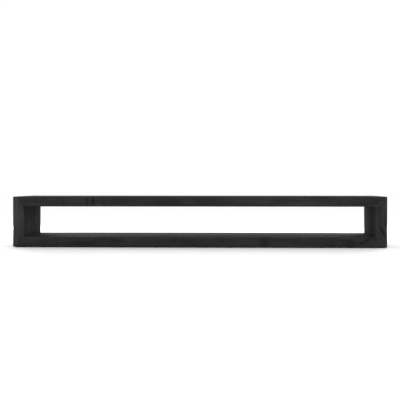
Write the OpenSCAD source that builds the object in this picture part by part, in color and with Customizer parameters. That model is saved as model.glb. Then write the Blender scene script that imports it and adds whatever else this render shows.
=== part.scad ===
// Open-sided linear electric fireplace: a long, low box frame of black-stained timber.
// The frame stands on four levelling feet with its front towards -Y and its width along X.
// The lower beam holds the cold-steam flame parts, the upper beam holds the fan heater.

/* [Frame] */
// Width of the timber frame
frame_w = 1830; // [1780:10:1880]
// Depth of the timber frame, front to back
frame_d = 350; // [350:1:360]
// Height of the timber frame without its feet
frame_h = 247; // [220:1:300]
// Thickness of each of the four beams
beam_t = 49; // [49:0.5:52]
// Thickness of the boards that face the hollow beams
panel_t = 5; // [4.5:0.5:5.5]
// Depth of the solid timber lippings at the front and back edges
lipping_d = 22; // [21:1:23]
// Height of the frame above the floor with the feet wound in
foot_gap = 3; // [3:0.5:6]

/* [Flame slot] */
// Gap between the front and back deck boards
slot_w = 18; // [16:1:22]
// Number of steam atomisers along the slot
atomiser_count = 16; // [8:1:18]
// Spacing of the amber lamps along each side of the slot
led_pitch = 50; // [40:5:80]

/* [Water tank] */
// Width of the tank
tank_w = 592; // [500:2:592]
// Height of the tank
tank_h = 26; // [20:1:26]
// Width of the finger pull in the tank's timber front
pull_w = 130; // [100:5:180]

/* [Fan heater] */
// Radius of the crossflow wheels
wheel_r = 15; // [13:0.5:15]
// Length of each crossflow wheel
wheel_l = 196; // [180:2:196]
// Number of blades on each wheel
blade_count = 16; // [12:1:20]
// Spacing of the grille slots in the heater cover
grille_pitch = 8; // [8:1:12]

/* [Feet and buttons] */
// Distance of the feet in from the ends of the frame
foot_inset_x = 95; // [95:1:130]
// Distance of the feet in from the front and back of the frame
foot_inset_y = 50; // [50:1:60]
// Radius of a push button
button_r = 5.7; // [4.5:0.1:5.7]

/* [Hidden] */
$fn = 48;

// Colours
timber = [0.17, 0.17, 0.17];
raw_pine = [0.78, 0.64, 0.44];
black_metal = [0.12, 0.12, 0.13];
steel = [0.72, 0.73, 0.75];
brass = [0.80, 0.65, 0.30];
board_green = [0.08, 0.32, 0.16];
black_plastic = [0.09, 0.09, 0.10];
smoke_plastic = [0.35, 0.38, 0.42];
white_plastic = [0.85, 0.85, 0.83];
ceramic = [0.88, 0.86, 0.80];

// Levels and places worked out from the driving dimensions
z_low = foot_gap;
z_top = foot_gap + frame_h;
y_front = -frame_d / 2;
y_back = frame_d / 2;
panel_y = frame_d / 2 - lipping_d;          // the boards run from -panel_y to panel_y
inner_inset = beam_t - panel_t;             // from the outside of the frame to the back of an inner board
deck_z = z_low + beam_t;                    // top of the deck
cavity_z = z_low + panel_t;                 // floor of the hollow in the lower beam
ceiling_z = z_low + inner_inset;            // ceiling of the hollow in the lower beam
soffit_z = z_top - beam_t;                  // underside of the upper beam
upper_floor_z = z_top - inner_inset;        // floor of the hollow in the upper beam
upper_ceiling_z = z_top - panel_t;          // ceiling of the hollow in the upper beam
inner_x = frame_w / 2 - beam_t;             // inside faces of the two posts
tank_front_x = 299;                         // the tank front runs from -tank_front_x to tank_front_x
service_x0 = 300.5;                         // ends of the metal panel round the mains inlet
service_x1 = 470;

// Joinery
dowel_r = 4;
dowel_l = 28;
dowel_gap = 0.1;
rib_t = 18;
wire_gap_front = -70;                       // the corner blocks leave a way for the wires between these
wire_gap_back = 90;
foot_block = 44;
foot_block_h = 18;

// Feet
foot_x = frame_w / 2 - foot_inset_x;
foot_y = frame_d / 2 - foot_inset_y;
foot_pad_r = 15;
foot_pad_t = 2.7;
stud_r = 4;
stud_top = 30;
nut_r = 6;
nut_h = 14;

// Fan heater
blower_z = (upper_floor_z + upper_ceiling_z) / 2;
scroll_r = (upper_ceiling_z - upper_floor_z) / 2;
sheet_t = 2;                                // thickness of the metal sheets and housings
housing_x0 = 25;
housing_x1 = 230;
duct_front = -114;
shaft_r = 2;
cover_x = 319;
heater_rib_x = 309;
cover_top = soffit_z + sheet_t;
outlet_y = [-110, -80];
intake_y = [-12, 18];
grille_slot = 3.6;

// Flame parts
tray_x = inner_x - 21;
tray_y = 34;
tray_floor_z = 24;                          // underside of the tray's upper floor
tray_floor_t = 3;
led_x = tray_x - 7;
spigot_z = 17;                              // water joint between the tank and the tray
spigot_r = 4;
fan_half = 8.5;
fan_t = 8;
fan_z = 35.5;
fan_bore_r = 7.6;

// Water tank
tank_y0 = 40;
tank_y1 = panel_y + 0.5;
tank_z = 12;
tank_wall = 2;
tank_top = tank_z + tank_h;
lid_z = tank_top - tank_wall;
filler_x = 230;
filler_y = 118;
filler_r = 12;

// Mains inlet
panel_face_y = y_back - 3;
inlet_x = 385;
inlet_z = z_low + beam_t / 2;
socket_x = inlet_x - 10;
rocker_x = inlet_x + 14.5;
rocker_pivot_y = panel_face_y - 3;
rocker_pin_r = 1;
rocker_rest = -8;
supply = [[490, 60, cavity_z], [650, 140, cavity_z + 28]];

// Controls
bezel_x = [640, 760];
bezel_y = [-140, -112];
button_y = (bezel_y[0] + bezel_y[1]) / 2;
button_x = [665, 690, 715];
lens_x = 742;
board_z = soffit_z + 12;
plug_x = 735;
plug_top = board_z + 10;

// Wires
wire_r = 3.5;
wire_y = 75;
wire_low = cavity_z + 14;
wire_high = blower_z + 1;
wire_x = frame_w / 2 - beam_t / 2;
heater_wire = [
    [supply[1][0], wire_y, wire_low], [wire_x, wire_y, wire_low], [wire_x, wire_y, wire_high],
    [250, wire_y, wire_high], [250, 13, wire_high], [housing_x1, 13, wire_high]
];
button_wire = [[plug_x, wire_y, wire_high], [plug_x, button_y, wire_high], [plug_x, button_y, plug_top]];
inlet_wire = [
    [supply[0][0], 130, inlet_z], [inlet_x, 130, inlet_z], [inlet_x, panel_face_y - 24, inlet_z]
];

// Corner n of the frame's outline moved in by i: bottom left, bottom right, top right, top left.
function corner(n, i) = [
    (n % 4 == 1 || n % 4 == 2 ? 1 : -1) * (frame_w / 2 - i),
    n % 4 >= 2 ? z_top - i : z_low + i
];

// One mitred side of the frame, from inset a to inset b: 0 bottom, 1 right, 2 top, 3 left.
module frame_side(n, a, b, y0, y1) {
    translate([0, y1, 0]) rotate([90, 0, 0]) linear_extrude(y1 - y0)
        polygon([corner(n, a), corner(n + 1, a), corner(n + 1, b), corner(n, b)]);
}

// A block given by its two corners.
module block(low, high) {
    translate(low) cube(high - low);
}

// The part of a shape between two places along X.
module between_x(x0, x1) {
    intersection() {
        children();
        block([x0, -frame_d, -frame_h], [x1, frame_d, 2 * frame_h]);
    }
}

// A cylinder along X.
module rod_x(x0, x1, y, z, r) {
    translate([x0, y, z]) rotate([0, 90, 0]) cylinder(h = x1 - x0, r = r);
}

// A profile drawn in Y and Z, stretched along X.
module along_x(x0, x1) {
    translate([x0, 0, 0]) rotate([90, 0, 90]) linear_extrude(x1 - x0) children();
}

// The same shape on the left and on the right.
module both_sides() {
    children();
    mirror([1, 0, 0]) children();
}

// ---------- timber frame ----------

module dowel_set(r, l, y) {
    for (n = [0:3])
        translate([corner(n, beam_t / 2)[0], y, corner(n, beam_t / 2)[1]])
            rotate([0, n % 2 == 0 ? 135 : 45, 0]) cylinder(h = l, r = r, center = true);
}

module lipping(n, y0) {
    difference() {
        frame_side(n, 0, beam_t, y0, y0 + lipping_d);
        dowel_set(dowel_r + dowel_gap, dowel_l + 2, y0 + lipping_d / 2);
    }
}

module front_lipping(n) color(timber) lipping(n, y_front);
module rear_lipping(n) color(timber) lipping(n, panel_y);

module rear_lipping_bottom() {
    between_x(-frame_w, -tank_front_x - 1) rear_lipping(0);
    between_x(service_x1, frame_w) rear_lipping(0);
}

module outer_panel(n) color(timber) frame_side(n, 0, panel_t, -panel_y, panel_y);
module inner_panel(n) color(timber) frame_side(n, inner_inset, beam_t, -panel_y, panel_y);

module base_panel() difference() {
    outer_panel(0);
    for_feet() cylinder(h = 3 * panel_t, r = stud_r + 0.5, center = true);
}

module soffits() {
    between_x(-frame_w, -cover_x - 1) inner_panel(2);
    difference() {
        between_x(cover_x + 1, frame_w) inner_panel(2);
        block([bezel_x[0], bezel_y[0], soffit_z - 1], [bezel_x[1], bezel_y[1], upper_floor_z + 1]);
    }
}

module deck_front() color(timber) frame_side(0, inner_inset, beam_t, -panel_y, -slot_w / 2);
module deck_rear() color(timber) frame_side(0, inner_inset, beam_t, slot_w / 2, panel_y);

module corner_blocks() color(raw_pine) for (n = [0:3]) {
    near = corner(n, panel_t);
    far = corner(n, inner_inset);
    low = [min(near[0], far[0]), min(near[1], far[1])];
    high = [max(near[0], far[0]), max(near[1], far[1])];
    block([low[0], -panel_y, low[1]], [high[0], wire_gap_front, high[1]]);
    block([low[0], wire_gap_back, low[1]], [high[0], panel_y, high[1]]);
}

module lower_rib(x, y0, y1) block([x - rib_t / 2, y0, cavity_z], [x + rib_t / 2, y1, ceiling_z]);

module upper_rib(x, z0)
    block([x - rib_t / 2, -panel_y, z0], [x + rib_t / 2, panel_y, upper_ceiling_z]);

module spacer_ribs() color(raw_pine) difference() {
    union() {
        for (x = [-600, -200, 200, 600]) lower_rib(x, -panel_y, -tray_y - 1);
        for (x = [-620, -340, 690]) lower_rib(x, tray_y + 1, panel_y);
        both_sides() {
            upper_rib(600, upper_floor_z);
            upper_rib(heater_rib_x, cover_top);
        }
        for_feet() translate([-foot_block / 2, -foot_block / 2, panel_t])
            cube([foot_block, foot_block, foot_block_h]);
    }
    for (z = [wire_low, wire_high]) rod_x(200, 800, wire_y, z, wire_r + 1.5);
    for_feet() cylinder(h = 3 * foot_block_h, r = nut_r + dowel_gap, center = true);
    cover_screw_places() cylinder(h = 2 * rib_t - 6, r = 1.6, center = true);
}

module mitre_dowels() color(raw_pine) for (y = [y_front + lipping_d / 2, y_back - lipping_d / 2])
    dowel_set(dowel_r, dowel_l, y);

// ---------- feet ----------

module for_feet() for (x = [-foot_x, foot_x]) for (y = [-foot_y, foot_y])
    translate([x, y, z_low]) children();

module foot(side, end) color(steel) translate([side * foot_x, end * foot_y, 0]) {
    cylinder(h = foot_pad_t, r = foot_pad_r);
    cylinder(h = stud_top, r = stud_r);
}

module insert_nuts() color(brass) for_feet() difference() {
    translate([0, 0, panel_t]) cylinder(h = nut_h, r = nut_r);
    cylinder(h = 3 * nut_h, r = stud_r + 0.08, center = true);
}

// ---------- fan heater in the upper beam ----------

module cover_screw_places() for (x = [-heater_rib_x, heater_rib_x]) for (y = [-130, 0, 130])
    translate([x, y, soffit_z]) children();

module cover_screws() color(steel) cover_screw_places() {
    translate([0, 0, -1.4]) cylinder(h = 1.4, r = 3.5);
    cylinder(h = 13, r = 1.5);
}

module grille_slots(y) for (x = [housing_x0 + 10:grille_pitch:housing_x1 - 8])
    block([x, y[0], soffit_z - 1], [x + grille_slot, y[1], cover_top + 1]);

module heater_cover() color(black_metal) difference() {
    block([-cover_x, 0.5 - panel_y, soffit_z], [cover_x, panel_y - 0.5, cover_top]);
    both_sides() {
        grille_slots(outlet_y);
        grille_slots(intake_y);
    }
    cover_screw_places() cylinder(h = 10, r = 1.6, center = true);
}

// Side view of the air duct: the scroll round the wheel, the outlet duct and its front wall.
module duct_profile() {
    foot_z = cover_top - blower_z;
    translate([duct_front, scroll_r - sheet_t]) square([-duct_front, sheet_t]);
    translate([duct_front, foot_z]) square([sheet_t, scroll_r - foot_z]);
    translate([-78, -scroll_r]) square([62, sheet_t]);
    translate([-18, foot_z]) square([sheet_t, 12]);
    intersection() {
        difference() {
            circle(r = scroll_r);
            circle(r = scroll_r - sheet_t);
        }
        translate([0, -6]) square([scroll_r + 1, scroll_r + 7]);
    }
}

module duct_end(x) {
    foot_z = cover_top - blower_z;
    along_x(x, x + sheet_t) difference() {
        translate([duct_front, foot_z]) square([scroll_r - duct_front, scroll_r - foot_z]);
        circle(r = 5);
    }
}

module blower_housing() color(steel) both_sides() translate([0, 0, blower_z]) {
    along_x(housing_x0, housing_x1) duct_profile();
    duct_end(housing_x0);
    duct_end(housing_x1 - sheet_t);
}

module blower_motor() color(steel) difference() {
    union() {
        rod_x(-22, 22, 0, blower_z, 16);
        rod_x(-24.5, 24.5, 0, blower_z, 8);
        block([-20, -14, cover_top], [20, 14, blower_z]);
    }
    rod_x(-30, 30, 0, blower_z, shaft_r + 0.6);
}

module blower_shaft() color(steel) rod_x(-235, 235, 0, blower_z, shaft_r);

module blower_wheel(x0) difference() {
    disc_t = 1.5;
    disc_pitch = (wheel_l - disc_t) / 4;
    union() {
        for (x = [x0:disc_pitch:x0 + wheel_l]) rod_x(x, x + disc_t, 0, blower_z, wheel_r);
        rod_x(x0, x0 + 8, 0, blower_z, 5);
        rod_x(x0 + wheel_l - 8, x0 + wheel_l, 0, blower_z, 5);
        for (i = [0:blade_count - 1])
            translate([x0, 0, blower_z]) rotate([i * 360 / blade_count, 0, 0])
                translate([0, wheel_r - 2.2, 0]) rotate([30, 0, 0])
                    translate([0, -1.6, -0.4]) cube([wheel_l, 3.2, 0.8]);
    }
    rod_x(x0 - 1, x0 + wheel_l + 1, 0, blower_z, shaft_r + 0.02);
}

module blower_wheels() color(black_plastic) {
    blower_wheel(29);
    blower_wheel(-29 - wheel_l);
}

module shaft_bushes() color(brass) both_sides() difference() {
    union() {
        rod_x(227.5, 234, 0, blower_z, 4.95);
        rod_x(housing_x1, 232, 0, blower_z, 7);
    }
    rod_x(220, 240, 0, blower_z, shaft_r + 0.05);
}

module heating_elements() color(ceramic) both_sides()
    translate([0, -40, blower_z]) rotate([90, 0, 0]) linear_extrude(20) {
        for (z = [-10, 6]) translate([housing_x0 + sheet_t, z])
            square([housing_x1 - housing_x0 - 2 * sheet_t, 4]);
        for (x = [36:6:218]) translate([x, -14]) square([1.2, 28]);
    }

module thermal_cutout() color(white_plastic) both_sides()
    translate([60, -90, upper_ceiling_z - sheet_t - 5]) cylinder(h = 5, r = 8);

// ---------- flame parts in the lower beam ----------

module slot_trims() color(black_metal) for (s = [-1, 1]) {
    half = slot_w / 2;
    web = [min(s * half, s * (half - 2)), max(s * half, s * (half - 2))];
    flange = [min(s * (half + 8), s * (half - 2)), max(s * (half + 8), s * (half - 2))];
    block([0.5 - inner_x, web[0], deck_z - 7], [inner_x - 0.5, web[1], deck_z + 0.5]);
    block([0.5 - inner_x, flange[0], deck_z], [inner_x - 0.5, flange[1], deck_z + 1]);
}

module for_atomisers() {
    pitch = 2 * tray_x / (atomiser_count + 0.1);
    for (i = [0:atomiser_count - 1])
        translate([(i - (atomiser_count - 1) / 2) * pitch, 0, 0]) children();
}

module mist_tray() color(black_plastic) difference() {
    union() {
        block([-tray_x, -tray_y, cavity_z], [tray_x, tray_y, ceiling_z]);
        translate([0, tray_y - 1, spigot_z]) rotate([-90, 0, 0]) cylinder(h = 10, r = spigot_r);
    }
    translate([0, tray_y - 3, spigot_z]) rotate([-90, 0, 0]) cylinder(h = 14, r = spigot_r - 1.2);
    block([2 - tray_x, 2 - tray_y, cavity_z + 2], [tray_x - 2, tray_y - 2, tray_floor_z]);
    block([2 - tray_x, 2 - tray_y, tray_floor_z + tray_floor_t], [tray_x - 2, tray_y - 2, ceiling_z + 1]);
    block([-tray_x - 1, -tray_y - 1, deck_z - 7.1], [2 - tray_x, tray_y + 1, ceiling_z + 1]);
    block([tray_x - 2, -tray_y - 1, deck_z - 7.1], [tray_x + 1, tray_y + 1, ceiling_z + 1]);
    rod_x(-tray_x - 1, tray_x + 1, 0, fan_z, fan_bore_r);
    for_atomisers() {
        translate([0, 0, tray_floor_z - 1]) cylinder(h = 6, r = 6.5);
        translate([0, 0, tray_floor_z + 1]) cylinder(h = 6, r = 8.15);
    }
}

module atomisers() color(steel) for_atomisers() translate([0, 0, tray_floor_z + 1]) difference() {
    cylinder(h = 1.6, r = 8);
    translate([0, 0, 0.4]) cylinder(h = 2, r = 4);
}

module wicks() color(white_plastic) for_atomisers()
    translate([0, 0, cavity_z + 2]) cylinder(h = tray_floor_z - cavity_z - 1, r = 4);

module led_strips() color(board_green) for (s = [-1, 1])
    block([-led_x, s * (tray_y - 2.8) - 0.8, 29], [led_x, s * (tray_y - 2.8) + 0.8, 41]);

module leds() color(white_plastic) for (s = [-1, 1]) for (x = [-800:led_pitch:800])
    block([x - 2.5, s * (tray_y - 4.35) - 0.75, 32.5], [x + 2.5, s * (tray_y - 4.35) + 0.75, 37.5]);

module led_diffusers() color("orange", 0.5) for (s = [-1, 1])
    block([-led_x, s * (tray_y - 8) - 0.8, tray_floor_z + tray_floor_t], [led_x, s * (tray_y - 8) + 0.8, 43]);

module mist_fan_frames() color(black_plastic) both_sides() {
    difference() {
        block([tray_x, -fan_half, fan_z - fan_half], [tray_x + fan_t, fan_half, fan_z + fan_half]);
        rod_x(tray_x - 1, tray_x + fan_t + 1, 0, fan_z, fan_bore_r);
    }
    rod_x(tray_x + fan_t - 1, tray_x + fan_t, 0, fan_z, 3);
    for (a = [90, 210, 330]) translate([tray_x + fan_t - 1, 0, fan_z]) rotate([a, 0, 0])
        translate([0, 0, -0.6]) cube([1, fan_bore_r + 0.4, 1.2]);
}

module mist_fan_rotor() color(black_plastic) {
    rod_x(tray_x + 0.5, tray_x + fan_t - 1.5, 0, fan_z, 3);
    for (i = [0:6]) translate([tray_x + 1, 0, fan_z]) rotate([i * 360 / 7, 0, 0])
        translate([0, 2, 0]) rotate([0, 40, 0]) translate([0, 0, -1]) cube([1, 5, 5]);
}

module mist_fan_rotor_right() mist_fan_rotor();
module mist_fan_rotor_left() mirror([1, 0, 0]) mist_fan_rotor();

// ---------- water tank ----------

module tank_block(inset, z0, z1)
    block([inset - tank_w / 2, tank_y0 + inset, z0], [tank_w / 2 - inset, tank_y1 - inset, z1]);

// The tub of the tank, open at the top, with the water joint low in its inner wall
module water_tank() color(smoke_plastic) difference() {
    tank_block(0, tank_z, lid_z);
    tank_block(tank_wall, tank_z + tank_wall, lid_z + 1);
    translate([0, tank_y0 - 1, spigot_z]) rotate([-90, 0, 0]) cylinder(h = 4, r = spigot_r + 0.5);
}

// The lid welded on the tub: a plate with the filling hole and a rim just inside the tub's walls
module tank_lid() color(smoke_plastic) difference() {
    union() {
        tank_block(0, lid_z, tank_top);
        tank_block(tank_wall + 0.2, lid_z - 3, tank_top);
    }
    tank_block(2 * tank_wall, lid_z - 4, lid_z);
    translate([filler_x, filler_y, lid_z - 1]) cylinder(h = tank_wall + 2, r = filler_r);
}

module tank_front() color(timber) difference() {
    block([-tank_front_x, tank_y1, z_low], [tank_front_x, y_back, deck_z]);
    block([-pull_w / 2, y_back - 12, deck_z - 20], [pull_w / 2, y_back + 1, deck_z - 6]);
}

module filler_cap() color(black_plastic) translate([filler_x, filler_y, tank_top]) {
    translate([0, 0, -tank_wall - 0.6]) cylinder(h = tank_wall + 1.6, r = filler_r - 0.4);
    translate([0, 0, 0.3]) cylinder(h = 2.2, r = filler_r + 3);
    translate([-11, -2, 2]) cube([22, 4, 2.6]);
}

module tank_runners() color(black_plastic) both_sides() {
    block([tank_w / 2 - 14, tank_y0, cavity_z], [tank_w / 2 + 5, panel_y - 3, tank_z - 0.3]);
    block([tank_w / 2 + 1, tank_y0, cavity_z], [tank_w / 2 + 5, panel_y - 3, tank_z + 10]);
}

// ---------- mains inlet and power ----------

module service_panel() color(black_metal) difference() {
    block([service_x0, panel_y, z_low], [service_x1, panel_face_y, deck_z]);
    block([service_x0 + 2, panel_y - 1, z_low + 2], [service_x1 - 2, panel_face_y - 2, deck_z - 2]);
    block([inlet_x - 24.2, panel_y, inlet_z - 13.7], [inlet_x + 24.2, y_back, inlet_z + 13.7]);
}

// Outline of the appliance socket, its two upper corners cut off beside the earth pin.
module socket_outline() polygon([
    [-12.2, -8.2], [12.2, -8.2], [12.2, 3.6], [7.6, 8.2], [-7.6, 8.2], [-12.2, 3.6]
]);

module mains_inlet() color(black_plastic) difference() {
    union() {
        block([inlet_x - 29, panel_face_y, inlet_z - 15],
              [inlet_x + 29, panel_face_y + 2.6, inlet_z + 15]);
        block([inlet_x - 24, panel_face_y - 24, inlet_z - 13.5],
              [inlet_x + 24, panel_face_y, inlet_z + 13.5]);
    }
    translate([socket_x, y_back + 1, inlet_z]) rotate([90, 0, 0]) linear_extrude(18) socket_outline();
    block([rocker_x - 7, panel_face_y - 14, inlet_z - 11], [rocker_x + 7, y_back + 1, inlet_z + 11]);
    rod_x(rocker_x - 8.3, rocker_x + 8.3, rocker_pivot_y, inlet_z, rocker_pin_r + 0.05);
}

module inlet_pins() color(steel) for (p = [[-7, -2], [7, -2], [0, 2.5]])
    block([socket_x + p[0] - 1, y_back - 17, inlet_z + p[1] - 2],
          [socket_x + p[0] + 1, y_back - 3, inlet_z + p[1] + 2]);

module power_rocker() color(black_plastic) {
    translate([rocker_x, rocker_pivot_y, inlet_z]) rotate([rocker_rest, 0, 0]) along_x(-6.7, 6.7)
        polygon([[-4, -7], [4.5, -10.2], [2.6, 0], [4.5, 10.2], [-4, 7]]);
    rod_x(rocker_x - 8, rocker_x + 8, rocker_pivot_y, inlet_z, rocker_pin_r);
}

module power_supply() color(steel) difference() {
    block(supply[0], supply[1]);
    for (x = [520:12:620]) block([x, 59, cavity_z + 8], [x + 4, 61.5, cavity_z + 20]);
}

// A round cable along a route of straight runs, with a ball at each bend.
module cable(route) {
    for (i = [1:len(route) - 1]) {
        run = route[i] - route[i - 1];
        translate(route[i - 1]) rotate([0, acos(run[2] / norm(run)), atan2(run[1], run[0])])
            cylinder(h = norm(run), r = wire_r);
        if (i < len(route) - 1) translate(route[i]) sphere(r = wire_r);
    }
}

module wiring_loom() color(black_plastic) {
    cable(heater_wire);
    cable(button_wire);
    cable(inlet_wire);
}

// ---------- controls under the upper beam ----------

module control_bezel() color(black_plastic) difference() {
    union() {
        block([bezel_x[0] + 0.2, bezel_y[0] + 0.2, soffit_z],
              [bezel_x[1] - 0.2, bezel_y[1] - 0.2, upper_floor_z]);
        block([bezel_x[0] - 4, bezel_y[0] - 3, upper_floor_z],
              [bezel_x[1] + 4, bezel_y[1] + 3, upper_floor_z + 1.5]);
    }
    for (x = button_x) translate([x, button_y, soffit_z - 1]) cylinder(h = 10, r = button_r + 0.3);
    translate([lens_x, button_y, soffit_z - 1]) cylinder(h = 10, r = 2.5);
}

module push_button(x) color(steel) translate([x, button_y, 0]) {
    translate([0, 0, soffit_z - 1.4]) cylinder(h = 9, r = button_r);
    translate([0, 0, upper_floor_z + 1.8]) cylinder(h = 1.2, r = button_r + 1.8);
}

module control_board() color(board_green) {
    block([645, -138, board_z], [755, -114, board_z + 1.6]);
    for (x = [648, 752]) translate([x, button_y, upper_floor_z + 1.5])
        cylinder(h = board_z - upper_floor_z - 1.5, r = 2);
    for (x = button_x) translate([x, button_y, board_z - 2.2]) cylinder(h = 2.2, r = 2.5);
    block([plug_x - 10, -134, board_z + 1.6], [plug_x + 10, -118, plug_top]);
}

front_lipping(2);  // front_lipping_top
front_lipping(0);  // front_lipping_bottom
front_lipping(3);  // front_lipping_left
front_lipping(1);  // front_lipping_right
rear_lipping(2);  // rear_lipping_top
rear_lipping_bottom();
rear_lipping(3);  // rear_lipping_left
rear_lipping(1);  // rear_lipping_right
outer_panel(2);  // top_panel
base_panel();
outer_panel(3);  // left_outer_panel
outer_panel(1);  // right_outer_panel
inner_panel(3);  // left_inner_panel
inner_panel(1);  // right_inner_panel
soffits();
deck_front();
deck_rear();
corner_blocks();
spacer_ribs();
mitre_dowels();
heater_cover();
blower_housing();
blower_motor();
blower_shaft();
blower_wheels();
shaft_bushes();
heating_elements();
thermal_cutout();
slot_trims();
mist_tray();
atomisers();
wicks();
led_strips();
leds();
led_diffusers();
mist_fan_frames();
mist_fan_rotor_left();
mist_fan_rotor_right();
water_tank();
tank_lid();
tank_front();
filler_cap();
tank_runners();
service_panel();
mains_inlet();
inlet_pins();
power_rocker();
power_supply();
wiring_loom();
control_bezel();
control_board();
push_button(button_x[0]);  // button_power
push_button(button_x[1]);  // button_flame
push_button(button_x[2]);  // button_heat
foot(-1, -1);  // foot_front_left
foot(1, -1);  // foot_front_right
foot(-1, 1);  // foot_rear_left
foot(1, 1);  // foot_rear_right
insert_nuts();
cover_screws();
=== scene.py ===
"""Looks of the linear electric fireplace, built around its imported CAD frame. Metres, Z up, front at -Y."""

import math

import bmesh
import bpy
import numpy as np
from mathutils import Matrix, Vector, noise


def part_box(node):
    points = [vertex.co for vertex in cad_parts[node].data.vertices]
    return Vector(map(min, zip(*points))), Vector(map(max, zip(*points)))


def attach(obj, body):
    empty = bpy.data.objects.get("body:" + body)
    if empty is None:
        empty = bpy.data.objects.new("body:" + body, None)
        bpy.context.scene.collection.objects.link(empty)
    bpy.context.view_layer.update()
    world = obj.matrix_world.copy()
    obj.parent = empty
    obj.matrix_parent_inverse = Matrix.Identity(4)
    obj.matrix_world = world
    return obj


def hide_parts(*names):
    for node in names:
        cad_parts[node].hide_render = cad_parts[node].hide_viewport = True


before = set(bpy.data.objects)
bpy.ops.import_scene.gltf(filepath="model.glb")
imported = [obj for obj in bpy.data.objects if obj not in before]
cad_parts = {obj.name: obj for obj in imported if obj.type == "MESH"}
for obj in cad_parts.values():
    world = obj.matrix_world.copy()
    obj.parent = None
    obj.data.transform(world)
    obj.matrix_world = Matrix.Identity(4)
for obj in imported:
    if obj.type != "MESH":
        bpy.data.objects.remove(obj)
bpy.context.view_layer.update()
MM = 0.001

# ---------- the frame's own measures ----------

BOTTOM, RIGHT, TOP, LEFT = range(4)
top_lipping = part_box("front_lipping_top")
half_w = top_lipping[1].x
z_top = top_lipping[1].z
z_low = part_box("front_lipping_bottom")[0].z
beam = top_lipping[1].z - top_lipping[0].z  # how thick each side of the frame is
y_front = top_lipping[0].y
y_back = -y_front
y_panel = top_lipping[1].y  # where the front edge boards meet the wide boards
panel_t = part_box("top_panel")[1].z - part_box("top_panel")[0].z

WHOLE = (-9.0, 9.0)  # a span past both ends of any board: it isn't cut short
ON_AXIS = 0.002 * MM  # a radius so small that it closes a turned shape

# CAD nodes and the bodies they ride on
FEET = {
    "foot_front_left": "front_left_foot",
    "foot_front_right": "front_right_foot",
    "foot_rear_left": "rear_left_foot",
    "foot_rear_right": "rear_right_foot",
}
BUTTONS = {
    "button_power": "power_button",
    "button_flame": "flame_button",
    "button_heat": "heat_button",
}


def camera():
    """A long lens in front, level, a little right of the middle and just above the top."""
    data = bpy.data.cameras.new("camera")
    data.sensor_width = 36
    data.lens = 66.8
    data.shift_x = -0.015
    data.shift_y = -0.0381
    data.clip_end = 60
    eye = add_object("camera", data)
    eye.location = (0.141, y_front - 3.623, z_top + 0.058)
    eye.rotation_euler = (math.radians(90), 0, math.radians(1.67))
    bpy.context.scene.camera = eye


# ---------- material building ----------


def put(tree, kind, inputs=None, out=0, **settings):
    """Adds a shader node, sets its inputs from values or sockets, and returns one of its outputs."""
    node = tree.nodes.new("ShaderNode" + kind)
    for key, value in settings.items():
        setattr(node, key, value)
    for key, value in (inputs or {}).items():
        if isinstance(value, bpy.types.NodeSocket):
            tree.links.new(value, node.inputs[key])
        else:
            node.inputs[key].default_value = value
    return node.outputs[out]


def calc(tree, operation, a, b=0.0):
    """One step of arithmetic on two values or sockets."""
    return put(tree, "Math", {0: a, 1: b}, operation=operation)


def product(tree, *factors):
    total = factors[0]
    for factor in factors[1:]:
        total = calc(tree, "MULTIPLY", total, factor)
    return total


def total_of(tree, *terms):
    total = terms[0]
    for term in terms[1:]:
        total = calc(tree, "ADD", total, term)
    return total


def vector(tree, operation, a, b=(0.0, 0.0, 0.0), out=0):
    return put(tree, "VectorMath", {0: a, 1: b}, out=out, operation=operation)


def stretched(tree, a, length):
    return put(tree, "VectorMath", {0: a, "Scale": length}, operation="SCALE")


def ramp(tree, value, low, high, to_low=0.0, to_high=1.0, smooth=True):
    """A value's share of the way from low to high, clamped, as a value from to_low to to_high."""
    kind = "SMOOTHSTEP" if smooth else "LINEAR"
    limits = {"Value": value, "From Min": low, "From Max": high, "To Min": to_low, "To Max": to_high}
    return put(tree, "MapRange", limits, interpolation_type=kind)


def two_colours(tree, share, a, b):
    """A blend of two colours, each three numbers or the socket of another blend."""
    a, b = (c if isinstance(c, bpy.types.NodeSocket) else (*c, 1) for c in (a, b))
    return put(tree, "Mix", {0: share, 6: a, 7: b}, out=2, data_type="RGBA")


def scaled(tree, coords, scale, location=(0.0, 0.0, 0.0)):
    return put(tree, "Mapping", {"Vector": coords, "Scale": scale, "Location": location})


def specks(tree, coords, scale, detail=3.0, roughness=0.5):
    inputs = {"Vector": coords, "Scale": scale, "Detail": detail, "Roughness": roughness}
    return put(tree, "TexNoise", inputs)


def start_material(name):
    """A new node material: itself, its tree, its shader node and the object's own coordinates."""
    material = bpy.data.materials.new(name)
    material.use_nodes = True
    tree = material.node_tree
    shader = tree.nodes["Principled BSDF"]
    coords = put(tree, "TexCoord", out="Object")
    return material, tree, shader, coords


def wire(tree, shader, **sockets):
    """Sets the shader's inputs: an underscore in a name stands for a space."""
    for key, value in sockets.items():
        socket = shader.inputs[key.replace("_", " ")]
        if isinstance(value, bpy.types.NodeSocket):
            tree.links.new(value, socket)
        else:
            socket.default_value = value


def bump(tree, height, strength, distance):
    return put(tree, "Bump", {"Height": height, "Strength": strength, "Distance": distance})


# ---------- timber ----------

STAVE = 0.102  # width of the staves that the wide boards are glued from
DARK_STAIN = (0.0075, 0.0075, 0.0077)
PALE_STAIN = (0.0330, 0.0330, 0.0332)
RUBBED_STAIN = (0.0620, 0.0600, 0.0580)  # where hands and cloths have worn the stain thin along an edge


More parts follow.
